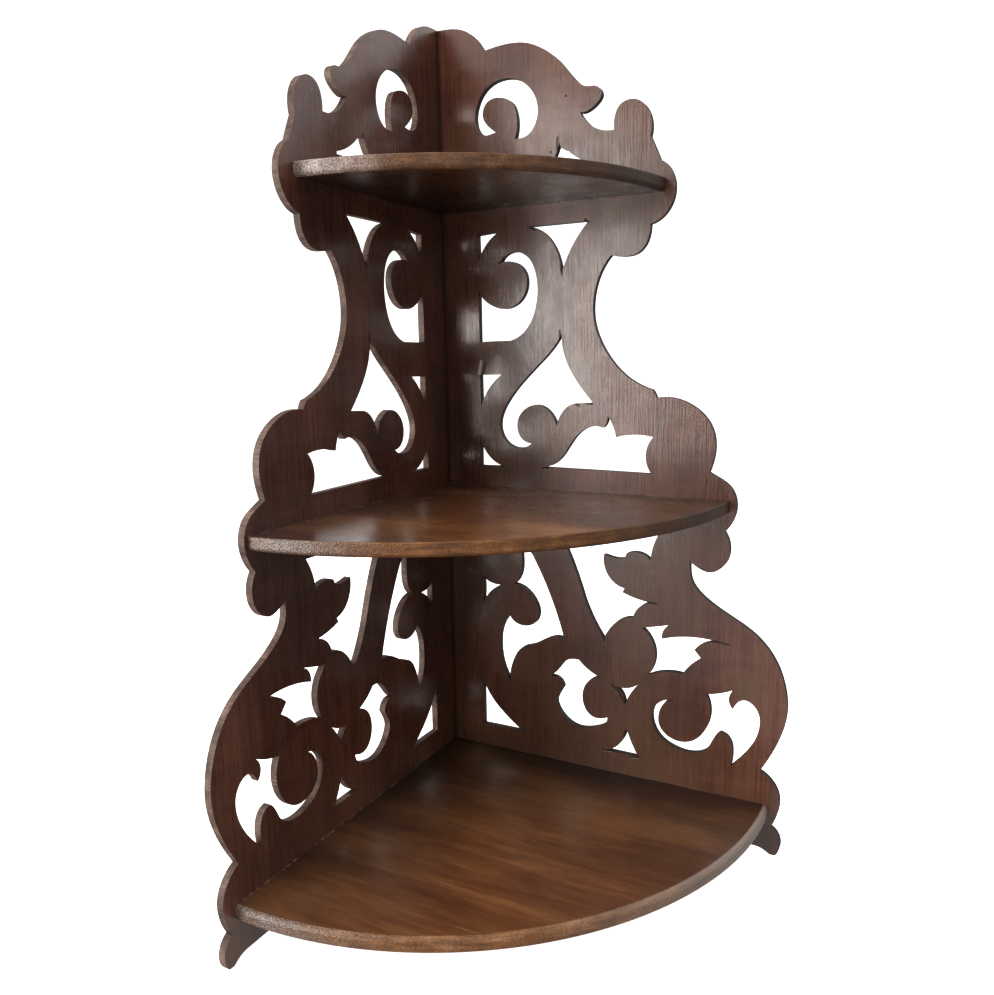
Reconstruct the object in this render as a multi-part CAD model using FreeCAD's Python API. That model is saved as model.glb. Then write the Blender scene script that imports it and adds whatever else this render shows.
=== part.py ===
import FreeCAD, Part
import os

from FreeCAD import Vector

# A corner etagere: two fret-sawn side panels meet at a right angle and carry three quarter-round
# shelves between them. Sizes are in millimetres. The model is laid out from the corner line, where the
# panels' inner faces meet: the right panel runs along +X, the left panel along -Y and up is +Z.
# At the end everything moves sideways, so that the origin is under the middle of the box around it.

# Side panels
panel_height = 648.5        # floor to crown
panel_reach = 292.5         # corner line to the widest point of the outline
panel_thickness = 5.5
stile_width = 32.0          # plain upright strip beside the corner

# Shelves
shelf_thickness = 10.0
bottom_shelf_top = 40.5     # heights above the floor
middle_shelf_top = 277.5
top_shelf_top = 515.0

# How far the hand-sawn front edges reach from the corner line: to the tip on each panel, and midway
bottom_shelf_right_reach = 280.5
bottom_shelf_front_reach = 282.5
bottom_shelf_left_reach = 279.0
middle_shelf_right_reach = 245.0
middle_shelf_front_reach = 243.5
middle_shelf_left_reach = 247.0
top_shelf_right_reach = 192.0
top_shelf_front_reach = 183.0
top_shelf_left_reach = 185.0

# Rounding of the front edges' arrises
bottom_shelf_upper_round = 4.5
bottom_shelf_lower_round = 1.0
middle_shelf_upper_round = 1.0
middle_shelf_lower_round = 3.0
top_shelf_upper_round = 1.0
top_shelf_lower_round = 3.5

# Countersunk wood screws, from behind the panels into the shelves' edges
screw_length = 19.0
screw_shank_diameter = 2.9
screw_head_diameter = 5.4
screw_head_height = 1.6
screw_tip_length = 4.0
screw_slot_width = 0.8
screw_slot_depth = 0.7
screw_from_corner = 48.0        # first screw of each row
screw_from_tip = 46.0           # last screw, back from the shelf's nearer tip
bottom_screw_count = 3          # in each panel
middle_screw_count = 2
top_screw_count = 2
screw_clearance = 0.1           # between a screw and its hole, on the radius

# Brads that hold the right panel, which laps over the left one, to the left panel's back edge
brad_length = 16.0
brad_diameter = 1.2
brad_head_diameter = 2.2
brad_head_height = 0.6
brad_tip_length = 1.8
brad_from_shelf = 36.0          # a brad above each shelf's top, and one below each shelf's underside
brad_from_crown = 30.0
brad_clearance = 0.05

# Break in the right panel's fretwork, where a corner of the low scroll is chipped off
chip_width = 3.6
chip_height = 3.4

# The fretwork is drawn at these marks: across at the corner, the stile's edge and the widest point,
# and up at the floor, the three shelf tops and the crown. It is stretched between them to the sizes above.
DRAWN_ACROSS = (0.0, 32.0, 292.5)
DRAWN_UP = (0.0, 40.5, 277.5, 515.0, 648.5)

real_across = (0.0, stile_width, panel_reach)
real_up = (0.0, bottom_shelf_top, middle_shelf_top, top_shelf_top, panel_height)

UP = Vector(0, 0, 1)
BACKWARD = Vector(0, 1, 0)              # out through the right panel's back
FORWARD = Vector(1, -1, 0).normalize()  # out between the panels, midway
BEYOND = 10.0                           # how far a cutting solid stands out of what it cuts

# Each shelf's top, its reaches on the right, in front and on the left, its upper and lower rounding and
# the number of its screws in each panel
shelves = {
    "bottom": {
        "top": bottom_shelf_top,
        "reaches": (bottom_shelf_right_reach, bottom_shelf_front_reach, bottom_shelf_left_reach),
        "rounds": (bottom_shelf_upper_round, bottom_shelf_lower_round),
        "screws": bottom_screw_count,
    },
    "middle": {
        "top": middle_shelf_top,
        "reaches": (middle_shelf_right_reach, middle_shelf_front_reach, middle_shelf_left_reach),
        "rounds": (middle_shelf_upper_round, middle_shelf_lower_round),
        "screws": middle_screw_count,
    },
    "top": {
        "top": top_shelf_top,
        "reaches": (top_shelf_right_reach, top_shelf_front_reach, top_shelf_left_reach),
        "rounds": (top_shelf_upper_round, top_shelf_lower_round),
        "screws": top_screw_count,
    },
}


def stretch(value, drawn_marks, real_marks):
    """The real coordinate of a drawn one, in proportion between the marks on either side of it."""
    span = 0
    while span < len(drawn_marks) - 2 and value > drawn_marks[span + 1]:
        span += 1
    share = (value - drawn_marks[span]) / (drawn_marks[span + 1] - drawn_marks[span])
    return real_marks[span] + share * (real_marks[span + 1] - real_marks[span])


def placed(across, up):
    """The point of the right panel's inner face that a point of the drawing stands for."""
    return Vector(stretch(across, DRAWN_ACROSS, real_across), 0, stretch(up, DRAWN_UP, real_up))


def outline(start, *runs):
    """A closed wire through points of the drawing. Each run goes on from the end of the one before:
    one point is a straight line, two points are an arc and more are a smooth curve through them all."""
    edges = []
    here = placed(*start)
    for run in runs:
        points = [here] + [placed(*point) for point in run]
        if len(run) == 1:
            edges.append(Part.LineSegment(*points).toShape())
        elif len(run) == 2:
            edges.append(Part.Arc(*points).toShape())
        else:
            curve = Part.BSplineCurve()
            curve.interpolate(points)
            edges.append(curve.toShape())
        here = points[-1]
    return Part.Wire(edges)


# The outline and the openings of one panel, as (across, up) points of the drawing


def panel_edge():
    """Crown, scrolled front edge from the crest down to the foot, then the bottom edge."""
    return outline(
        (0, 0),
        [(0, 648.5)],
        # crown at the corner
        [(10, 648), (20, 646.2), (28, 642.6), (36, 635.5), (42, 626.3)],
        # crest, running down to a rounded beak
        [(55, 627.8), (68, 628), (80, 626), (91, 621.3), (106, 610.3), (122.5, 591.6), (130, 587),
         (138, 586), (142, 581), (138, 573.7), (124.5, 569.3)],
        # bay under the beak, and the finger after it
        [(128.5, 563.5), (134, 558.3), (142, 554.3), (152, 553.2)],
        [(152.8, 563.5), (156.5, 570), (164.3, 573), (172, 571), (179, 563), (181.4, 551), (180.4, 545.3)],
        [(183.7, 538), (188, 528)],
        # lobe at the top shelf's tip
        [(193, 524.5), (198, 516.5), (199.6, 508), (196.5, 495), (189, 486.3), (181.2, 482.8)],
        [(180.5, 476), (177.5, 468.3), (171.5, 462.6), (163, 460.6), (150, 462.2)],
        # long hollow beside the upper scrolls
        [(141.5, 450), (136, 432), (136, 414), (146, 389.5), (160.5, 372.5), (184, 360)],
        [(186, 357), (187.3, 353.9)],
        # broad round shoulder
        [(200, 354), (210, 351), (220, 345), (229, 335), (233.4, 319), (232.5, 309), (229.3, 298)],
        # lobe at the middle shelf's tip, and the smaller one under it
        [(236, 294.3), (245, 288), (250.3, 274), (248.8, 264.5), (242, 253.3)],
        [(245.3, 246.5), (246.3, 239.5), (244.5, 231), (239.5, 224.3), (231.5, 220.7), (223.5, 222.8),
         (216, 228)],
        # belly, the widest part
        [(216, 221), (217.5, 213), (227.5, 200.5), (246, 188.5), (267, 175.5), (281.5, 159), (290, 138),
         (292.2, 119), (286.5, 93), (273.5, 67)],
        # lobe at the bottom shelf's tip
        [(281.5, 61.5), (288.2, 50.5), (288.2, 36), (283, 22.5)],
        # front foot, flat where it stands
        [(289, 16.5), (290.6, 8), (287, 0)],
        [(283, 0)],
        [(277.5, 3.2), (272, 4.5)],
        # bottom edge and the foot at the corner
        [(46, 4.5)],
        [(40.5, 3.2), (36, 0)],
        [(0, 0)],
    )


def eye():
    """Hook-shaped eye under the crest. It starts at the hook's inner end."""
    return outline(
        (69, 557),
        [(75, 556.8), (80.5, 558.5), (86, 564), (89.3, 576), (85, 589.5), (78, 597), (70, 601.5),
         (61, 603), (50, 601.3), (41.5, 596), (36, 588), (33.5, 579), (36.5, 566.5), (44, 562.5)],
        [(52, 563.7)],
        [(46, 568.5), (40.5, 577), (43, 586), (49, 589.5), (56, 589.5), (65.5, 585.5), (70.5, 575.5),
         (69, 557)],
    )


def sliver():
    """Small triangle between the eye and the top shelf."""
    return outline((62, 549.5), [(59.5, 538), (53, 528)], [(74, 528)], [(65.5, 538), (62, 549.5)])


def horn():
    """Curved horn on the top shelf's upper rail, beside the finger."""
    return outline(
        (108, 551.5),
        [(109.5, 545), (113.5, 543.5)],
        [(121, 537.5), (138.5, 529.8)],
        [(138.5, 528)],
        [(90, 528)],
        [(99, 533.5), (104.5, 541.5), (108, 551.5)],
    )


def wing():
    """Curved triangle hanging from the top shelf's lower rail."""
    return outline(
        (82, 488.8),
        [(131.5, 489)],
        [(120.5, 475.5), (109, 451.5)],
        [(106.3, 464), (97.5, 479.5), (82, 488.8)],
    )


def upper_corner():
    """Small hollow-sided triangle in the corner under the top shelf."""
    return outline((33.5, 485.5), [(53, 487)], [(42.5, 479), (34, 465)], [(33.5, 485.5)])


def scroll():
    """C-shaped scroll beside the stile, open round a disc."""
    return outline(
        (54.5, 462),
        [(59.5, 468), (68, 470.2), (79, 465.5), (87, 448), (86.5, 428.5), (78.5, 410), (63, 399.8)],
        [(33.5, 399.4)],
        [(33.5, 441)],
        [(38, 434), (45, 429), (54, 425.7), (63, 426.3), (71, 430.5), (77.7, 442), (75, 456.5),
         (64, 463), (54.5, 462)],
    )


def middle_corner():
    """Small hollow-sided triangle under the scroll."""
    return outline((33.5, 371.8), [(53.5, 372)], [(42, 361), (33.8, 345.5)], [(33.5, 371.8)])


def comma():
    """Long comma whose tail curls round under it."""
    return outline(
        (108.7, 404.5),
        [(109.5, 392), (118.5, 371), (135.3, 349.5)],
        [(119.5, 348.7)],
        [(112.5, 345.5), (107, 339), (103.8, 330)],
        [(100, 338.5), (94, 344.5), (86, 347.3), (76.5, 344.5), (69, 336), (69, 323.5), (80.8, 315.3)],
        [(71, 311.3), (58.5, 315), (51.6, 328), (59.5, 350), (89, 381), (100, 392), (108.7, 404.5)],
    )


def lower_corner():
    """Small hollow-sided triangle on the middle shelf's upper rail, in the corner."""
    return outline((32.5, 295), [(54.3, 295)], [(42.5, 301.5), (35.3, 311), (32.5, 322.5)], [(32.5, 295)])


def sail():
    """Broad sail-shaped opening on the middle shelf's upper rail."""
    return outline(
        (92, 296),
        [(184, 294.8)],
        [(179.3, 308.5), (185.3, 323.5)],
        [(171, 325), (155, 322.5)],
        [(152.5, 331), (147.8, 339.5)],
        [(147, 334), (144, 329.8)],
        [(139, 330.8), (131, 329.5), (122, 323.5), (109.5, 306.5), (92, 296)],
    )


def disc_corner():
    """Small pointed opening between the stile and the big ring."""
    return outline(
        (31.5, 202),
        [(35, 195), (42, 191.5), (50, 191)],
        [(39, 183.5), (31.5, 171)],
        [(33, 186.5), (31.5, 202)],
    )


def crescent():
    """Tall opening left of the slanting bar. It bends round a disc and ends in a crescent below it."""
    return outline(
        (69.5, 232),
        [(70.7, 209), (68.5, 200), (63.3, 193.5)],
        [(70, 192), (77.5, 187), (83.5, 179), (86, 170), (83, 161.5), (72, 157), (58.3, 164.7)],
        [(50, 151), (48.3, 137), (50.5, 120), (58.5, 104)],
        [(58.5, 116), (61, 124), (66, 133.5), (75.5, 139.8)],
        [(84, 143), (95, 149.3), (109.6, 150.7)],
        [(98, 185), (81, 220)],
        [(76, 226.5), (69.5, 232)],
    )


def leaf():
    """Big leaf-shaped opening right of the slanting bar, under the middle shelf's lower rail."""
    return outline(
        (101, 251),
        [(115, 223), (125.5, 195.5)],
        [(133.5, 175), (144.8, 156)],
        [(150.5, 165.5), (158.5, 173.5), (170.3, 176.8)],
        [(174, 185), (180, 189.5), (188.5, 190.8)],
        [(174, 192.8), (161, 197)],
        [(162.8, 200.4)],
        [(153, 205), (147.5, 212), (145, 227)],
        [(151, 225.5), (157, 224.8), (163, 226)],
        [(164.3, 229.7)],
        [(174, 231.3), (184.3, 226)],
        [(186.5, 238), (193, 251)],
        [(101, 251)],
    )


def star():
    """Long six-pointed opening in the belly's upper half."""
    return outline(
        (178, 169.5),
        [(189, 171.8), (202.5, 175.3)],
        [(196, 170.5), (194.5, 162.5)],
        [(204, 165.2), (222, 167.5), (246.5, 165)],
        [(230, 164.2), (220.7, 157.3)],
        [(226.5, 150.5)],
        [(218.5, 144.5), (211.3, 135.8)],
        [(200, 136), (183.5, 130.5)],
        [(189.3, 148.5), (178, 169.5)],
    )


def bottom_corner():
    """Hollow-sided triangle on the bottom shelf's upper rail, in the corner."""
    return outline((30.5, 59.6), [(69.5, 59.6)], [(52, 73), (36.5, 90), (30.5, 104)], [(30.5, 59.6)])


def flower():
    """Hook-shaped opening whose end curls round a petal."""
    return outline(
        (93, 114),
        [(100.5, 118.5), (108, 128), (123, 133.8)],
        [(131, 127), (142, 121.5)],
        [(130.5, 115.5), (126.2, 104), (130, 90), (148.5, 87.5)],
        [(147, 82.5), (140, 77.8), (131, 74.8), (122, 74.3), (112, 78.5), (105, 86), (102.3, 94),
         (105, 101), (108.8, 107.5)],
        [(103, 115), (93, 114)],
    )


def kite():
    """Small hollow-sided opening beside the flower."""
    return outline((153, 117.3), [(163, 115.7), (175, 120.8)], [(168.5, 112), (164, 102)],
                   [(160.5, 112), (153, 117.3)])


def tooth():
    """Small hollow-sided triangle on the bottom shelf's upper rail."""
    return outline((147.5, 58.3), [(176, 58)], [(170, 69), (165.5, 81)], [(160.5, 67.5), (147.5, 58.3)])


def whale():
    """Big curling opening in the belly's lower half."""
    return outline(
        (201.5, 112.7),
        [(194, 109.5), (188.5, 103), (188, 90), (194, 79.5), (207, 72.3), (222, 71.3), (232, 76.5),
         (236.5, 85), (242, 92.5)],
        [(249.5, 88.5), (252.5, 77), (251.5, 66.5)],
        [(263, 80.5), (272, 101), (270.5, 115.5), (264, 121.8), (251.8, 113.8)],
        [(248.5, 121), (252.3, 129.4)],
        [(242, 125), (230.5, 122.3)],
        [(234.5, 110), (231, 93), (220, 81), (206, 79.3), (194, 88), (193.5, 102.5), (201.5, 112.7)],
    )


def chip():
    """Square chip broken out of the bridge under the scroll."""
    return outline((46, 399.6), [(46, 399.6 - chip_height)], [(46 + chip_width, 399.6 - chip_height)],
                   [(46 + chip_width, 399.6)], [(46, 399.6)])


def openings():
    """Every opening that both panels have."""
    top = [eye(), sliver(), horn()]
    upper = [wing(), upper_corner(), scroll(), middle_corner(), comma(), lower_corner(), sail()]
    lower = [disc_corner(), crescent(), leaf(), star(), bottom_corner(), flower(), kite(), tooth(), whale()]
    return top + upper + lower


# Fasteners: each stands with its head's top at the origin and points down


def turned(profile):
    """The solid that a closed (radius, height) profile sweeps round the upright axis."""
    points = [Vector(radius, 0, height) for radius, height in profile]
    face = Part.Face(Part.makePolygon(points + points[:1]))
    return face.revolve(Vector(0, 0, 0), UP, 360)


def screw():
    """Countersunk wood screw with a plain shank, a tapered tip and a slotted head."""
    shank = screw_shank_diameter / 2
    head = screw_head_diameter / 2
    body = turned([
        (0, 0),
        (head, 0),
        (shank, -screw_head_height),
        (shank, screw_tip_length - screw_length),
        (0, -screw_length),
    ])
    slot = Part.makeBox(
        2 * head + BEYOND, screw_slot_width, screw_slot_depth + BEYOND,
        Vector(-head - BEYOND / 2, -screw_slot_width / 2, -screw_slot_depth),
    )
    return body.cut(slot)


def screw_hole():
    """What a screw takes away: its own shape with the clearance all round, and open behind the head."""
    shank = screw_shank_diameter / 2 + screw_clearance
    head = screw_head_diameter / 2 + screw_clearance
    bottom = -screw_length - screw_clearance
    return turned([
        (0, BEYOND),
        (head, BEYOND),
        (head, 0),
        (shank, -screw_head_height),
        (shank, bottom),
        (0, bottom),
    ])


def brad():
    """Thin nail with a small flat head and a tapered tip."""
    shank = brad_diameter / 2
    head = brad_head_diameter / 2
    return turned([
        (0, 0),
        (head, 0),
        (head, -brad_head_height),
        (shank, -brad_head_height),
        (shank, brad_tip_length - brad_length),
        (0, -brad_length),
    ])


def brad_hole():
    """What a brad takes away, with its clearance. The head sits on the seat at its own depth."""
    shank = brad_diameter / 2 + brad_clearance
    head = brad_head_diameter / 2 + brad_clearance
    bottom = -brad_length - brad_clearance
    return turned([
        (0, BEYOND),
        (head, BEYOND),
        (head, -brad_head_height),
        (shank, -brad_head_height),
        (shank, bottom),
        (0, bottom),
    ])


def driven(solid, across, up):
    """Turns an upright fastener to go in through the right panel's back, at a place on its face."""
    placement = FreeCAD.Placement(
        Vector(across, panel_thickness, up), FreeCAD.Rotation(UP, BACKWARD)
    )
    moved = solid.copy()
    moved.Placement = placement.multiply(moved.Placement)
    return moved


def mirrored(solid):
    """The same solid on the other side of the corner, so that what lay along +X lies along -Y."""
    return solid.mirror(Vector(0, 0, 0), Vector(1, 1, 0))


# Where the fasteners go


def spread(first, last, count):
    """Evenly spaced places from the first to the last."""
    return [first + (last - first) * index / (count - 1) for index in range(count)]


def screw_places(shelf):
    """Distance from the corner line and height of each of one shelf's screws, alike in both panels."""
    right, _, left = shelf["reaches"]
    last = min(right, left) - screw_from_tip
    middle = shelf["top"] - shelf_thickness / 2
    return [(across, middle) for across in spread(screw_from_corner, last, shelf["screws"])]


def brad_heights():
    """Two brads in each of the three stretches of the corner between the shelves and the crown."""
    above = [top + brad_from_shelf for top in (bottom_shelf_top, middle_shelf_top, top_shelf_top)]
    below = [top - shelf_thickness - brad_from_shelf for top in (middle_shelf_top, top_shelf_top)]
    return sorted(above + below + [panel_height - brad_from_crown])


# Pieces


def screw_holes(shelf):
    """The holes of one shelf's screws, in the right panel and on into the shelf."""
    return [driven(screw_hole(), across, up) for across, up in screw_places(shelf)]


def side_panel(lap, extra_openings):
    """One panel in the right panel's place. Its lap is how far it runs on past the corner line."""
    face = Part.makeFace([panel_edge()] + openings() + extra_openings, "Part::FaceMakerBullseye")
    panel = face.extrude(Vector(0, panel_thickness, 0))
    if lap:
        strip = Part.makeBox(lap, panel_thickness, panel_height, Vector(-lap, 0, 0))
        panel = panel.fuse(strip).removeSplitter()
    return panel.cut([hole for shelf in shelves.values() for hole in screw_holes(shelf)])


def corner_brads(solid):
    """A copy of one solid at each brad's place, through the lap and along the left panel's back edge."""
    return [driven(solid, -panel_thickness / 2, height) for height in brad_heights()]


def right_panel():
    """The panel along +X, lapping over the left one, with a chip in its fretwork."""
    return side_panel(panel_thickness, [chip()]).cut(corner_brads(brad_hole()))


def left_panel():
    """The panel along -Y, which ends at the right panel's inner face."""
    return mirrored(side_panel(0, [])).cut(corner_brads(brad_hole()))


def outermost_arc(board, pick):
    """The highest or the lowest arc among a board's edges, with pick either max or min."""
    arcs = [edge for edge in board.Edges if isinstance(edge.Curve, Part.Circle)]
    return pick(arcs, key=lambda arc: arc.CenterOfMass.z)


def shelf_board(shelf):
    """A quarter-round board with its straight edges against the panels. Its front edge is the arc through
    its two tips and its reach in front, with both arrises rounded."""
    right, front, left = shelf["reaches"]
    upper_round, lower_round = shelf["rounds"]
    corner = Vector(0, 0, shelf["top"] - shelf_thickness)
    right_tip = corner + Vector(right, 0, 0)
    left_tip = corner + Vector(0, -left, 0)
    plan = Part.Wire([
        Part.LineSegment(corner, right_tip).toShape(),
        Part.Arc(right_tip, corner + FORWARD * front, left_tip).toShape(),
        Part.LineSegment(left_tip, corner).toShape(),
    ])
    board = Part.Face(plan).extrude(UP * shelf_thickness)
    board = board.makeFillet(upper_round, [outermost_arc(board, max)])
    board = board.makeFillet(lower_round, [outermost_arc(board, min)])
    holes = screw_holes(shelf)
    return board.cut(holes + [mirrored(hole) for hole in holes])


def fasteners():
    """Every screw and brad, by name."""
    named = {}
    for name, shelf in shelves.items():
        for index, (across, up) in enumerate(screw_places(shelf), start=1):
            right = driven(screw(), across, up)
            named[f"{name}_screw_right_{index}"] = right
            named[f"{name}_screw_left_{index}"] = mirrored(right)
    for index, nail in enumerate(corner_brads(brad()), start=1):
        named[f"corner_brad_{index}"] = nail
    return named


def main():
    pieces = {"left_panel": left_panel(), "right_panel": right_panel()}
    for name, shelf in shelves.items():
        pieces[f"{name}_shelf"] = shelf_board(shelf)
    pieces.update(fasteners())

    centre = (panel_reach - panel_thickness) / 2
    os.makedirs("parts", exist_ok=True)
    for name, shape in pieces.items():
        shape.translate(Vector(-centre, centre, 0))
        shape.exportStep(f"parts/{name}.step")


main()
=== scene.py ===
import math
from collections import namedtuple

import bmesh
import bpy
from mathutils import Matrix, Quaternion, Vector


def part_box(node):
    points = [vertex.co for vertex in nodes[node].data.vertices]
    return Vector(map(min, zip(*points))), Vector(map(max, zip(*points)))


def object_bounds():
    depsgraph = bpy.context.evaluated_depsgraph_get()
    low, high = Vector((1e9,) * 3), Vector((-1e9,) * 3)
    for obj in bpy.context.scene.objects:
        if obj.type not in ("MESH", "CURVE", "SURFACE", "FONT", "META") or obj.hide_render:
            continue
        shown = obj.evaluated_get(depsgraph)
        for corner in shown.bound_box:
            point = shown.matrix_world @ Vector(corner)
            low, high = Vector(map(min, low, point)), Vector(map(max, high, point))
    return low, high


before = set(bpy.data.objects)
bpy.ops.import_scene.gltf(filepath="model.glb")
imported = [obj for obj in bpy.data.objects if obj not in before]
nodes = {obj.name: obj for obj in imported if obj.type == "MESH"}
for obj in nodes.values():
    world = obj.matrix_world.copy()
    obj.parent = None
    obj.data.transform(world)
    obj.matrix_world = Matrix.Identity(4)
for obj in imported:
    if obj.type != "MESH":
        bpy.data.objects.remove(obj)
cad_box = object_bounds()

# Sizes are in metres. The corner is where the panels' inner faces meet, at the floor
MM = 0.001
corner = Vector((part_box("left_panel")[1].x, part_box("right_panel")[0].y, 0))
floor_height = cad_box[0].z
# The bottom shelf's highest corner gives its top and its right end
shelf_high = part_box("bottom_shelf")[1]
shelf_top = shelf_high.z
shelf_end = shelf_high.x

# Camera, measured from the corner
camera_place = Vector((393.6, -647.6, 388.1)) * MM
camera_azimuth = math.radians(28.12)        # turned left of +Y
camera_elevation = math.radians(-9.31)
camera_roll = math.radians(-0.98)
camera_lens = 31.41                         # millimetres
camera_sensor = 36.0                        # millimetres

# Floor
floor_radius = 1.6
floor_segments = 96
floor_colour = (0.92, 0.92, 0.92)
floor_roughness = 0.9
floor_glow = 0.75
floor_tooth = 0.1 * MM

# Room. The brightnesses are radiances, and 1 is white. From its level brightness, the room gets brighter
# upwards and downwards until a direction's Z is room_slope up or down
room_level = 0.17
room_above = 0.40
room_below = 0.60
room_slope = 0.5
room_seen = 1.2                             # what the camera sees past the floor
# Bright places in the room: a direction from the object, how near to it they fade in and are full, as
# cosines, and a brightness
room_lights = [
    ((0.50, 0.50, 0.71), 0.62, 0.86, 1.4),      # high up behind the object on the right
    ((-0.85, 0.48, 0.20), 0.83, 0.93, 1.2),     # low behind it on the left
    ((-0.35, -0.80, -0.49), 0.70, 0.95, 0.85),  # the floor in front of it on the left
]

# Square soft boxes: degrees turned left of +Y, degrees raised, distance, width, and power in watts
light_tint = (1.0, 0.965, 0.93)
soft_boxes = {
    "window": (143, 2.8, 2.4, 1.6, 55),
    "fill": (222, 4, 2.4, 1.6, 9),
    "ceiling": (190, 62, 2.2, 1.2, 30),
}

# Each tone is a dark, a middle and a light colour
# Both panels are one wood: the left panel's tones are set a little darker than the right panel's, painted
# shade
left_panel_tones = ((0.043, 0.0135, 0.008), (0.081, 0.0275, 0.016), (0.129, 0.049, 0.030))
right_panel_tones = ((0.047, 0.0145, 0.009), (0.090, 0.031, 0.018), (0.137, 0.056, 0.036))
# Both panels' sawn edges are one wood: the left panel's tones are set pale, painted light from the window
# that they face, and the right panel's near black, painted shade
left_edge_tones = ((0.044, 0.026, 0.020), (0.100, 0.064, 0.050), (0.205, 0.140, 0.112))
right_edge_tones = ((0.010, 0.004, 0.003), (0.022, 0.010, 0.007), (0.045, 0.022, 0.016))
shelf_tones = ((0.068, 0.022, 0.009), (0.140, 0.055, 0.020), (0.250, 0.112, 0.044))
# The three shelves' edges are one wood: the top shelf's tones are set darker and the bottom shelf's
# lighter, painted shade and painted light
top_edge_tones = ((0.045, 0.016, 0.005), (0.095, 0.037, 0.011), (0.170, 0.078, 0.028))
middle_edge_tones = ((0.060, 0.022, 0.006), (0.135, 0.052, 0.013), (0.240, 0.105, 0.032))
bottom_edge_tones = ((0.074, 0.028, 0.008), (0.178, 0.077, 0.026), (0.315, 0.160, 0.072))

# Single colours, and pairs of a dark and a light one
# Pale specks on the panels, partly dust and partly painted glints, and a line of dust on the shelves
dust_and_glints = (0.30, 0.24, 0.20)
# Real grime in the corner joint and the edges' pits, and also painted shade: below the bottom shelf, on the
# shelves beside the panels, at the top and middle edges' right ends, inside holes and saw cuts
grime_and_shade = (0.018, 0.010, 0.008)
bare_wood = (0.42, 0.33, 0.22)
olive = (0.115, 0.062, 0.033)
# Pale warm strip above the bottom shelf: partly wear, partly painted bounce light from the shelf
rubbed_and_bounce_strip = (0.20, 0.112, 0.066)
# Painted reflection: the pale grey towards the right end of the bottom shelf's edge
painted_reflection_grey = (0.22, 0.195, 0.18)
# Painted glints: a dark and a pale colour for the speckle at the left ends of the shelves' edges
glint_speckle_dark = ((0.055, 0.042, 0.036), (0.17, 0.14, 0.125))
glint_speckle_pale = ((0.19, 0.155, 0.145), (0.52, 0.455, 0.43))
steel_tones = ((0.10, 0.085, 0.07), (0.30, 0.28, 0.25))

# Polish on the wood, and how deep its relief is
panel_coat = 0.42
panel_coat_roughness = 0.13
panel_relief = 0.12 * MM
panel_relief_strength = 0.6
shelf_coat = 0.25
rubbed_coat = 0.6
shelf_coat_roughness = 0.2
shelf_relief = 0.25 * MM
shelf_relief_strength = 0.7
steel_relief = 0.1 * MM

# Cosines between a face's direction and the surface's, where the face fades in past its edge and is full
face_from = 0.93
face_full = 0.99

# Turns an angle about the corner into a length along a shelf's curved edge
curve_radius = 0.25

# Marks on the panels' inner faces: beside the bottom shelf, wear with painted bounce light above it and
# painted shade below its top, and a dark joint along the corner
strip_height = 0.10                         # how far above the shelf the pale strip, wear and painted bounce light, fades out
strip_fade = 0.09                           # over how much of the shelf's end it fades out
shade_fade = 0.02                           # how far below the shelf's top the painted shade is full
seam_dark = 0.2 * MM
seam_clear = 3.6 * MM

# Small marks on the panels' inner faces, in millimetres from the corner and above the floor: round holes
# and the ends of saw cuts that run past the corners of the fretwork, painted dark as the shade inside them,
# and a chip down to bare wood. A chip or cut has two ends
hole_radius = 1.1 * MM
chip_radius = 1.7 * MM
cut_radius = 0.9 * MM
left_holes = [(84, 547.5), (87.5, 469)]
left_chips = []
left_cuts = [(110.5, 405, 108, 397), (152, 337, 151.5, 332), (113, 462.5, 111, 456.5), (35.5, 439, 37, 431)]
right_holes = [(113, 582.5), (100, 543), (16, 391.5)]
right_chips = [(34.5, 383, 32.5, 373)]
right_cuts = [
    (106, 553, 105.5, 545), (81.5, 488.5, 86, 486), (128.5, 490.5, 131.5, 488.5), (53.5, 462.5, 57, 466.5),
    (108.5, 458, 109, 450.5), (107, 406.5, 107, 396.5), (39, 382, 35, 370.5), (120, 348.5, 123.5, 347),
    (129.5, 349, 135, 348.5), (44, 295.5, 54, 295), (91, 295, 96.5, 296), (181, 191, 189.5, 191),
    (236.5, 166.5, 248, 165), (146, 153.5, 144.5, 158), (152, 117, 158.5, 112), (158.5, 112, 164, 102.5),
    (198.5, 112, 202, 111), (164.5, 78.5, 163, 73.5), (145, 58, 154, 58.5), (170, 56.5, 176.5, 57.5),
]

Marks = namedtuple("Marks", "holes chips cuts")
Surface = namedtuple("Surface", "colour roughness relief")


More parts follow.
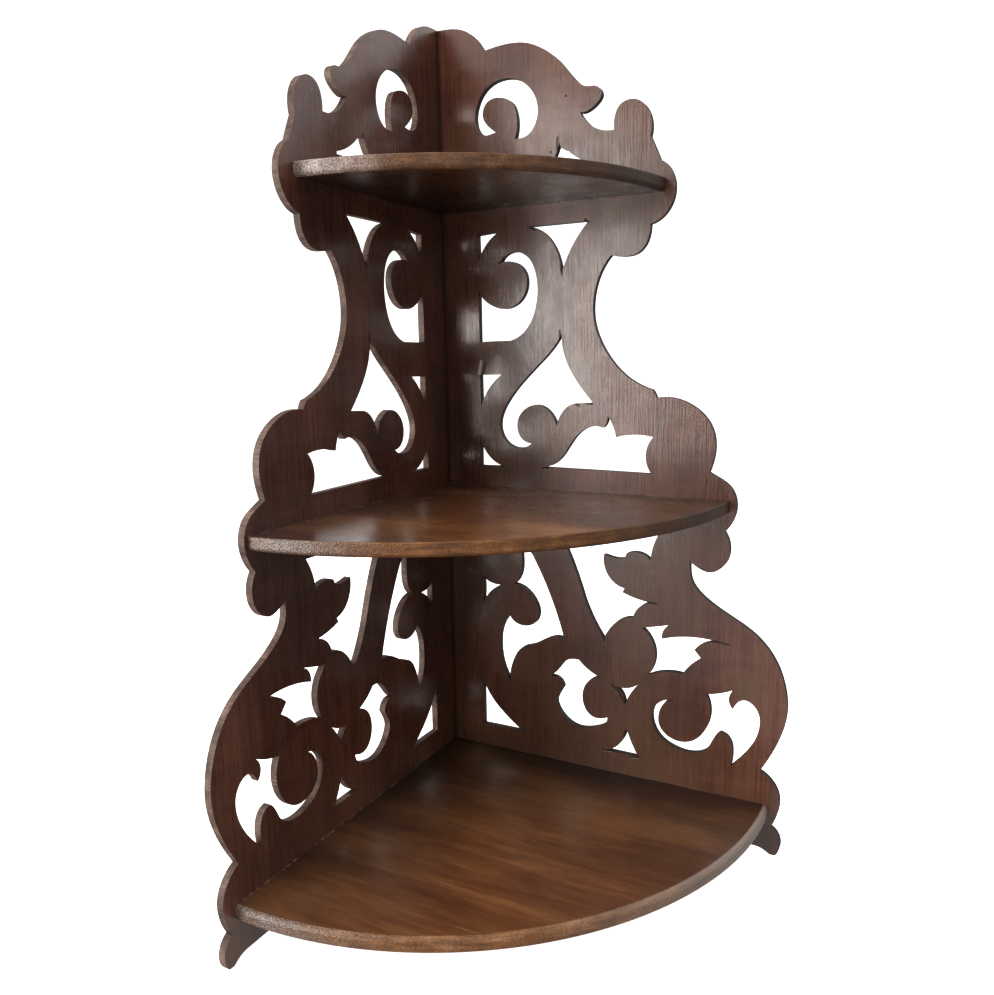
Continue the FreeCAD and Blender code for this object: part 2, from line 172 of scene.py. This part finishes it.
class Graph:
    """The node tree of a material or a world. Each method adds nodes and gives back their output."""

    def __init__(self, owner, shader="ShaderNodeBsdfPrincipled", output="ShaderNodeOutputMaterial"):
        owner.use_nodes = True
        self.tree = owner.node_tree
        self.tree.nodes.clear()
        self.shader = self.tree.nodes.new(shader)
        end = self.tree.nodes.new(output)
        self.tree.links.new(self.shader.outputs[0], end.inputs["Surface"])

    def feed(self, socket, value):
        """Links an output to a socket, or sets a plain value on it."""
        if isinstance(value, bpy.types.NodeSocket):
            self.tree.links.new(value, socket)
        else:
            socket.default_value = value

    def coordinates(self, output="Object"):
        return self.tree.nodes.new("ShaderNodeTexCoord").outputs[output]

    def stretched(self, vector, scale, offset=(0, 0, 0)):
        mapping = self.tree.nodes.new("ShaderNodeMapping")
        self.feed(mapping.inputs["Vector"], vector)
        mapping.inputs["Scale"].default_value = scale
        mapping.inputs["Location"].default_value = offset
        return mapping.outputs["Vector"]

    def noise(self, vector, scale, detail=3.0, roughness=0.5, distortion=0.0):
        noise = self.tree.nodes.new("ShaderNodeTexNoise")
        self.feed(noise.inputs["Vector"], vector)
        noise.inputs["Scale"].default_value = scale
        noise.inputs["Detail"].default_value = detail
        noise.inputs["Roughness"].default_value = roughness
        noise.inputs["Distortion"].default_value = distortion
        return noise.outputs["Fac"]

    def ramp(self, value, *stops):
        """Colours at places from 0 to 1, blended between them."""
        ramp = self.tree.nodes.new("ShaderNodeValToRGB")
        elements = ramp.color_ramp.elements
        while len(elements) < len(stops):
            elements.new(0.5)
        for element, (place, colour) in zip(elements, stops):
            element.position = place
            element.color = (*colour, 1)
        self.feed(ramp.inputs["Fac"], value)
        return ramp.outputs["Color"]

    def three_tones(self, figure, tones, spread=0.10):
        """Dark, middle and light, over a spread on both sides of a figure's middle value."""
        dark, middle, light = tones
        return self.ramp(figure, (0.5 - spread, dark), (0.5, middle), (0.5 + spread, light))

    def span(self, value, low, high, to_low=0.0, to_high=1.0):
        """Carries low..high to to_low..to_high, held at the ends."""
        node = self.tree.nodes.new("ShaderNodeMapRange")
        self.feed(node.inputs["Value"], value)
        node.inputs["From Min"].default_value = low
        node.inputs["From Max"].default_value = high
        node.inputs["To Min"].default_value = to_low
        node.inputs["To Max"].default_value = to_high
        return node.outputs["Result"]

    def math(self, operation, first, second=0.0):
        node = self.tree.nodes.new("ShaderNodeMath")
        node.operation = operation
        self.feed(node.inputs[0], first)
        self.feed(node.inputs[1], second)
        return node.outputs["Value"]

    def times(self, first, second):
        return self.math("MULTIPLY", first, second)

    def total(self, *weighted):
        """The sum of several (value, weight) pairs."""
        result = 0.0
        for value, weight in weighted:
            result = self.math("ADD", self.times(value, weight), result)
        return result

    def mix(self, factor, first, second):
        node = self.tree.nodes.new("ShaderNodeMix")
        node.data_type = "RGBA"
        self.feed(node.inputs["Factor"], factor)
        for socket, value in ((node.inputs["A"], first), (node.inputs["B"], second)):
            self.feed(socket, value if isinstance(value, bpy.types.NodeSocket) else (*value, 1))
        return node.outputs["Result"]

    def joined(self, *parts):
        """A vector from its X, Y and Z."""
        node = self.tree.nodes.new("ShaderNodeCombineXYZ")
        for axis, value in zip("XYZ", parts):
            self.feed(node.inputs[axis], value)
        return node.outputs["Vector"]

    def part(self, vector, axis):
        """A vector's X, Y or Z."""
        node = self.tree.nodes.new("ShaderNodeSeparateXYZ")
        self.feed(node.inputs["Vector"], vector)
        return node.outputs[axis]

    def vector_math(self, operation, *values, output="Vector"):
        node = self.tree.nodes.new("ShaderNodeVectorMath")
        node.operation = operation
        for socket, value in zip(node.inputs, values):
            self.feed(socket, value)
        return node.outputs[output]

    def along(self, vector, direction):
        """How far a vector goes along a direction."""
        return self.vector_math("DOT_PRODUCT", vector, direction, output="Value")

    def near(self, vector, place, full, radius):
        """1 within a distance of a place, fading to 0 at a radius."""
        gap = self.vector_math("DISTANCE", vector, place, output="Value")
        return self.span(gap, full, radius, 1, 0)

    def spots(self, vector, centres, radius):
        """1 in small round spots, 0 elsewhere."""
        result = 0.0
        for centre in centres:
            result = self.math("MAXIMUM", result, self.near(vector, centre, 0.6 * radius, radius))
        return result

    def strokes(self, vector, ends, radius):
        """1 on short straight marks between pairs of places, 0 elsewhere."""
        result = 0.0
        for start, end in ends:
            run = end - start
            reach = self.along(self.vector_math("SUBTRACT", vector, start), run / run.length_squared)
            nearest = self.vector_math("MULTIPLY_ADD", self.span(reach, 0, 1), run, start)
            result = self.math("MAXIMUM", result, self.near(vector, nearest, 0.4 * radius, radius))
        return result

    def bump(self, height, distance, strength):
        node = self.tree.nodes.new("ShaderNodeBump")
        node.inputs["Distance"].default_value = distance
        node.inputs["Strength"].default_value = strength
        self.feed(node.inputs["Height"], height)
        return node.outputs["Normal"]


# Wood


class Wood(Graph):
    """The material of a board, with its grain along one axis and its two faces across another. An offset
    moves its patterns, so that no two boards look alike."""

    def __init__(self, name, grain, face_axis, offset):
        self.material = bpy.data.materials.new(name)
        super().__init__(self.material)
        self.grain = grain
        self.offset = offset
        self.place = self.coordinates()
        self.from_corner = self.stretched(self.place, (1, 1, 1), tuple(-corner))
        self.normal = self.coordinates("Normal")
        looks_across = self.math("ABSOLUTE", self.part(self.normal, face_axis))
        self.on_face = self.span(looks_across, face_from, face_full)
        self.off_face = self.math("SUBTRACT", 1.0, self.on_face)

    def pattern(self, scale, detail, roughness=0.5, distortion=0.0, stretch=1.0, axis=None, source=None):
        """Noise drawn out along the grain, or along another axis. A stretch under 1 draws it longer."""
        long_axis = axis or self.grain
        scales = tuple(stretch if name == long_axis else 1.0 for name in "XYZ")
        vector = self.stretched(self.place if source is None else source, scales, self.offset)
        return self.noise(vector, scale, detail, roughness, distortion)

    def pores(self, stretch):
        """Short pores along the grain."""
        return self.span(self.pattern(1300, 2, stretch=stretch), 0.62, 0.70)

    def cover(self, face, edge, relief, strength):
        """Puts one surface on the two faces and another on the edges between them."""
        shader = self.shader.inputs
        self.feed(shader["Base Color"], self.mix(self.on_face, edge.colour, face.colour))
        self.feed(shader["Roughness"],
                  self.total((face.roughness, self.on_face), (edge.roughness, self.off_face)))
        height = self.total((face.relief, self.on_face), (edge.relief, self.off_face))
        normal = self.bump(height, relief, strength)
        self.feed(shader["Normal"], normal)
        self.feed(shader["Coat Normal"], normal)

    def coat(self, weight, roughness):
        """Clear polish over the wood."""
        self.feed(self.shader.inputs["Coat Weight"], weight)
        self.shader.inputs["Coat Roughness"].default_value = roughness


def on_panel(outward, along, height):
    """A place on a panel's inner face, outward being the way that the panel runs from the corner."""
    return corner + (outward * along + Vector((0, 0, height))) * MM


def mark_ends(outward, marks):
    """The two ends of each chip or cut."""
    return [(on_panel(outward, *mark[:2]), on_panel(outward, *mark[2:])) for mark in marks]


def panel_wear_and_shade(wood, colour, wear_and_shade, inside):
    """Olive patches in the stain. Just above the bottom shelf the panel is paler and warmer, partly rubbed
    by things that stood there and partly painted bounce light from the shelf; below its top, painted shade."""
    tint = wood.pattern(26, 2, stretch=0.4)
    colour = wood.mix(wood.span(tint, 0.45, 0.62, 0.0, 0.5 * wear_and_shade), colour, olive)

    height = wood.part(wood.place, "Z")
    # A pale warm strip just above the bottom shelf: partly wear, partly painted bounce light
    low_down = wood.span(height, shelf_top, shelf_top + strip_height, 0.5 * wear_and_shade, 0)
    by_shelf = wood.span(wood.part(wood.place, "X"), shelf_end - strip_fade, shelf_end, 1, 0)
    colour = wood.mix(wood.times(wood.times(low_down, by_shelf), inside), colour, rubbed_and_bounce_strip)

    # Painted shade on the panel below the bottom shelf's top
    below = wood.span(height, shelf_top - shade_fade, shelf_top, 0.6 * wear_and_shade, 0)
    return wood.mix(wood.times(below, inside), colour, grime_and_shade)


def panel_face(wood, outward, tones, wear_and_shade, inside, seam, marks):
    """Upright grain under a worn polish."""
    # Fine lines two millimetres apart that waver on their way up, wider ones, and soft clouds of stain
    lines = wood.pattern(560, 3, roughness=0.7, distortion=0.2, stretch=0.035)
    wide = wood.pattern(150, 3, roughness=0.6, stretch=0.012)
    cloud = wood.pattern(18, 3, stretch=0.5)
    ripple = wood.pattern(45, 2, stretch=4.0)
    figure = wood.total((lines, 0.34), (wide, 0.10), (cloud, 0.42), (ripple, 0.14))
    colour = panel_wear_and_shade(wood, wood.three_tones(figure, tones), wear_and_shade, inside)
    colour = wood.mix(seam, colour, grime_and_shade)

    # Dark pores, pale specks that are partly dust in the polish and partly painted glints, chips, and holes
    # and saw cuts painted dark as the shade inside them
    pores = wood.pores(0.12)
    specks = wood.span(wood.pattern(800, 1, stretch=0.5), 0.74, 0.80)
    chips = wood.strokes(wood.place, mark_ends(outward, marks.chips), chip_radius)
    holes = wood.spots(wood.place, [on_panel(outward, *hole) for hole in marks.holes], hole_radius)
    cuts = wood.strokes(wood.place, mark_ends(outward, marks.cuts), cut_radius)
    pierced = wood.math("MAXIMUM", holes, cuts)
    colour = wood.mix(wood.times(pores, 0.15), colour, tones[0])
    # Pale specks: partly dust, partly painted glints
    colour = wood.mix(wood.times(specks, 0.40), colour, dust_and_glints)
    colour = wood.mix(chips, colour, bare_wood)
    # Painted shade inside the holes and saw cuts
    colour = wood.mix(pierced, colour, grime_and_shade)

    wear = wood.total((wood.pattern(60, 4, roughness=0.6), 0.4), (lines, 0.4), (pores, 0.1))
    polish = wood.span(wear, 0.32, 0.50, 0.25, 0.42)
    roughness = wood.total((polish, 1.0), (pierced, 0.5))

    # The lines stand up more in some patches than in others
    patch = wood.span(wood.pattern(22, 2), 0.40, 0.60, 0.7, 2.4)
    relief = wood.total((wood.times(lines, patch), 1.0), (ripple, 0.4), (pores, -0.1), (specks, 0.3),
                        (pierced, -3.0))
    return Surface(colour, roughness, relief)


def panel_edge(wood, tones, face_axis):
    """Dull, with the saw's fine marks across it."""
    kerf = wood.pattern(900, 3, roughness=0.6, stretch=0.15, axis=face_axis)
    crumbs = wood.noise(wood.place, 1600, detail=2, roughness=0.6)
    stain = wood.pattern(70, 3, roughness=0.6)
    rough = wood.total((kerf, 0.6), (crumbs, 0.4))
    colour = wood.three_tones(wood.total((rough, 0.6), (stain, 0.4)), tones)
    return Surface(colour, wood.span(rough, 0.35, 0.65, 0.55, 0.80), rough)


def panel_wood(name, outward, tones, edge_tones, wear_and_shade, marks, offset):
    """Thin old board, stained dark and polished. Its wear weight, from 0 to 1, is how much use shows on its
    face, and how strong the painted bounce light and painted shade by the bottom shelf are.
    """
    face_axis = "Y" if outward.x else "X"
    inward = Vector((-outward.y, -outward.x, 0))
    wood = Wood(name, "Z", face_axis, offset)
    inside = wood.span(wood.along(wood.normal, inward), face_from, face_full)
    by_corner = wood.span(wood.along(wood.from_corner, outward), seam_dark, seam_clear, 0.70, 0)
    seam = wood.times(by_corner, inside)

    face = panel_face(wood, outward, tones, wear_and_shade, inside, seam, marks)
    edge = panel_edge(wood, edge_tones, face_axis)
    wood.cover(face, edge, panel_relief, panel_relief_strength)
    wood.coat(wood.times(wood.math("SUBTRACT", wood.on_face, seam), panel_coat), panel_coat_roughness)
    return wood.material


def shelf_face(wood, rightward, forward, dullness):
    """Warm polish, with painted shade towards each panel and towards the right, which leaves it paler in
    the middle.
    """
    cloud = wood.pattern(16, 4, roughness=0.55, distortion=0.4, stretch=0.35)
    streak = wood.pattern(170, 4, roughness=0.6, distortion=0.3, stretch=0.06)
    thin = wood.pattern(800, 2, roughness=0.6, stretch=0.05)
    broad = wood.pattern(9, 2, stretch=0.6)
    figure = wood.total((cloud, 0.44), (broad, 0.26), (streak, 0.15), (thin, 0.15))
    pores = wood.pores(0.08)
    colour = wood.mix(wood.times(pores, 0.45), wood.three_tones(figure, shelf_tones), shelf_tones[0])

    # Painted shade near the panels, thickest in the angle, and towards the right, and a broken line of dust
    # right against them
    panel_gap = wood.math("MINIMUM", rightward, forward)
    shade_spread = wood.total((panel_gap, 1.0), (wood.math("SUBTRACT", cloud, 0.5), 0.08))
    colour = wood.mix(wood.span(shade_spread, 0.0, 0.16, 0.68, 0.0), colour, grime_and_shade)
    colour = wood.mix(wood.span(shade_spread, 0.0, 0.02, 0.40, 0.0), colour, grime_and_shade)
    colour = wood.mix(wood.span(rightward, 0.15, 0.28, 0.0, 0.35), colour, grime_and_shade)
    against_panel = wood.span(panel_gap, 0.4 * MM, 0.9 * MM, 1, 0)
    lint = wood.times(against_panel, wood.span(streak, 0.45, 0.60))
    colour = wood.mix(wood.times(lint, 0.7), colour, dust_and_glints)

    wear = wood.pattern(50, 4, roughness=0.6)
    polish = wood.span(wear, 0.35, 0.65, dullness, dullness + 0.12)
    swell = wood.pattern(34, 1)
    return Surface(colour, wood.total((polish, 1.0), (pores, 0.04)), wood.times(swell, 0.30))


def shelf_edge(wood, turn, left, tones, left_end, right_end):
    """Sawn by hand: streaks along the curve, coarse grains and small dark pits. At the left end it carries
    a speckle of painted glints, and towards the right it blends to a given colour: painted shade on the top
    and middle shelves, a painted reflection on the bottom one."""
    curve = wood.joined(wood.times(turn, curve_radius), 0.0, wood.part(wood.place, "Z"))
    bands = wood.pattern(330, 4, roughness=0.65, stretch=0.12, source=curve)
    grains = wood.pattern(850, 2, roughness=0.65)
    patches = wood.pattern(60, 3, roughness=0.6, source=curve)
    pits = wood.span(wood.pattern(700, 2, stretch=0.5, source=curve), 0.64, 0.70)

    figure = wood.total((bands, 0.45), (grains, 0.25), (patches, 0.30))
    colour = wood.three_tones(figure, tones, spread=0.12)
    colour = wood.mix(wood.times(pits, 0.8), colour, grime_and_shade)
    # Towards the right the edge blends to right_end: painted shade on the top and middle shelves, a painted
    # pale reflection on the bottom one
    colour = wood.mix(wood.span(turn, 0.7, 1.3, 0.0, 0.75), colour, right_end)
    # Painted glints at the left end: a speckle of pale grains on a dark ground
    glinting = wood.times(left, wood.span(patches, 0.40, 0.60, 0.45, 0.95))
    speckle = wood.ramp(grains, (0.42, left_end[0]), (0.62, left_end[1]))
    colour = wood.mix(glinting, colour, speckle)

    dull = wood.total((grains, 0.4), (wood.span(turn, 0.2, 0.7), 0.6))
    relief = wood.total((bands, 0.8), (grains, 3.6), (pits, -1.0))
    return Surface(colour, wood.span(dull, 0.2, 0.8, 0.18, 0.62), relief)


def shelf_wood(name, edge_tones, left_end, right_end, dullness, offset):
    """Thicker board, its grain along the right panel. Its edge is more golden than its faces."""
    wood = Wood(name, "X", "Z", offset)
    rightward = wood.part(wood.from_corner, "X")
    forward = wood.times(wood.part(wood.from_corner, "Y"), -1.0)
    # The turn about the corner, in radians, from the left panel to the right one
    turn = wood.math("ARCTAN2", rightward, forward)
    left = wood.span(turn, 0.10, 0.38, 1, 0)

    face = shelf_face(wood, rightward, forward, dullness)
    edge = shelf_edge(wood, turn, left, edge_tones, left_end, right_end)
    wood.cover(face, edge, shelf_relief, shelf_relief_strength)
    weight = wood.total((wood.on_face, shelf_coat), (wood.times(wood.off_face, left), rubbed_coat))
    wood.coat(weight, shelf_coat_roughness)
    return wood.material


def aged_steel(name):
    """Dull steel, darkened by age."""
    material = bpy.data.materials.new(name)
    graph = Graph(material)
    stain = graph.noise(graph.coordinates(), 900, detail=4, roughness=0.6)
    colour = graph.ramp(stain, (0.35, steel_tones[0]), (0.65, steel_tones[1]))
    graph.feed(graph.shader.inputs["Base Color"], colour)
    graph.feed(graph.shader.inputs["Roughness"], graph.span(stain, 0.3, 0.7, 0.35, 0.6))
    graph.feed(graph.shader.inputs["Normal"], graph.bump(stain, steel_relief, 0.3))
    graph.shader.inputs["Metallic"].default_value = 1.0
    return material


def dress(names, material):
    """Gives CAD nodes a material in place of their plain one."""
    for name in names:
        for material_slot in nodes[name].material_slots:
            material_slot.material = material


def dress_panels():
    left = panel_wood(
        "left_panel_wood", Vector((0, -1, 0)), left_panel_tones, left_edge_tones, 0.3,
        Marks(left_holes, left_chips, left_cuts), (0, 0, 0))
    right = panel_wood(
        "right_panel_wood", Vector((1, 0, 0)), right_panel_tones, right_edge_tones, 1.0,
        Marks(right_holes, right_chips, right_cuts), (3, 1, 2))
    dress(["left_panel"], left)
    dress(["right_panel"], right)


def dress_shelves():
    # Each shelf's edge gets painted glints at its left end, and towards its right end a painted reflection
    # on the bottom shelf and painted shade on the others
    bottom = shelf_wood("bottom_shelf_wood", bottom_edge_tones, glint_speckle_dark, painted_reflection_grey, 0.34, (0, 7, 0))
    middle = shelf_wood("middle_shelf_wood", middle_edge_tones, glint_speckle_dark, grime_and_shade, 0.25, (4, 6, 1))
    top = shelf_wood("top_shelf_wood", top_edge_tones, glint_speckle_pale, grime_and_shade, 0.24, (2, 7, 2))
    dress(["bottom_shelf"], bottom)
    dress(["middle_shelf"], middle)
    dress(["top_shelf"], top)


def dress_fasteners():
    dress([name for name in nodes if "screw" in name or "brad" in name], aged_steel("fastener_steel"))


# Stage, lights and camera


def pale_floor():
    """A plain white disc that only the camera sees, so the room alone lights the object."""
    mesh = bpy.data.meshes.new("floor")
    disc = bmesh.new()
    bmesh.ops.create_circle(disc, cap_ends=True, segments=floor_segments, radius=floor_radius)
    disc.to_mesh(mesh)
    disc.free()
    floor = bpy.data.objects.new("floor", mesh)
    floor.location.z = floor_height
    floor.visible_diffuse = False
    floor.visible_glossy = False
    bpy.context.scene.collection.objects.link(floor)

    paper = bpy.data.materials.new("floor_paper")
    graph = Graph(paper)
    tooth = graph.noise(graph.coordinates(), 700)
    graph.feed(graph.shader.inputs["Normal"], graph.bump(tooth, floor_tooth, 0.1))
    graph.shader.inputs["Base Color"].default_value = (*floor_colour, 1)
    graph.shader.inputs["Roughness"].default_value = floor_roughness
    graph.shader.inputs["Emission Color"].default_value = (1, 1, 1, 1)
    graph.shader.inputs["Emission Strength"].default_value = floor_glow
    mesh.materials.append(paper)


def bearing(azimuth, elevation):
    """A direction that is turned left of +Y and raised, in radians."""
    return Vector((
        -math.sin(azimuth) * math.cos(elevation),
        math.cos(azimuth) * math.cos(elevation),
        math.sin(elevation),
    ))


def soft_light(name, azimuth, elevation, distance, size, power):
    """A square soft box that looks at the middle of the object."""
    light = bpy.data.lights.new(name, "AREA")
    light.shape = "SQUARE"
    light.size = size
    light.energy = power
    light.color = light_tint
    lamp = bpy.data.objects.new(name, light)
    target = (cad_box[0] + cad_box[1]) / 2
    lamp.location = target + distance * bearing(math.radians(azimuth), math.radians(elevation))
    lamp.rotation_euler = (target - lamp.location).to_track_quat("-Z", "Y").to_euler()
    bpy.context.scene.collection.objects.link(lamp)


def room():
    """White to the camera. To the object, dim at the level of the eye, with a few bright places."""
    world = bpy.data.worlds.new("studio")
    graph = Graph(world, "ShaderNodeBackground", "ShaderNodeOutputWorld")
    direction = graph.coordinates("Generated")
    rise = graph.part(direction, "Z")
    brightness = graph.math("MAXIMUM", graph.span(rise, 0.0, room_slope, room_level, room_above),
                            graph.span(rise, 0.0, -room_slope, room_level, room_below))
    for place, faint, full, glow in room_lights:
        glowing = graph.span(graph.along(direction, place), faint, full, 0, glow)
        brightness = graph.math("MAXIMUM", brightness, glowing)
    seen = graph.tree.nodes.new("ShaderNodeLightPath").outputs["Is Camera Ray"]
    brightness = graph.math("MAXIMUM", brightness, graph.times(seen, room_seen))
    graph.feed(graph.shader.inputs["Strength"], brightness)
    graph.shader.inputs["Color"].default_value = (1, 1, 1, 1)
    bpy.context.scene.world = world


def lighting():
    """The room, a big window in front on the left, a weak fill on the right and a soft ceiling light."""
    room()
    for name, values in soft_boxes.items():
        soft_light(name, *values)
    view = bpy.context.scene.view_settings
    view.view_transform = "Standard"
    view.look = "Medium High Contrast"


def camera():
    data = bpy.data.cameras.new("camera")
    data.lens = camera_lens
    data.sensor_width = camera_sensor
    eye = bpy.data.objects.new("camera", data)
    gaze = bearing(camera_azimuth, camera_elevation)
    eye.rotation_mode = "QUATERNION"
    eye.rotation_quaternion = gaze.to_track_quat("-Z", "Y") @ Quaternion((0, 0, 1), camera_roll)
    eye.location = corner + camera_place
    bpy.context.scene.collection.objects.link(eye)
    bpy.context.scene.camera = eye


dress_panels()
dress_shelves()
dress_fasteners()
pale_floor()
lighting()
camera()
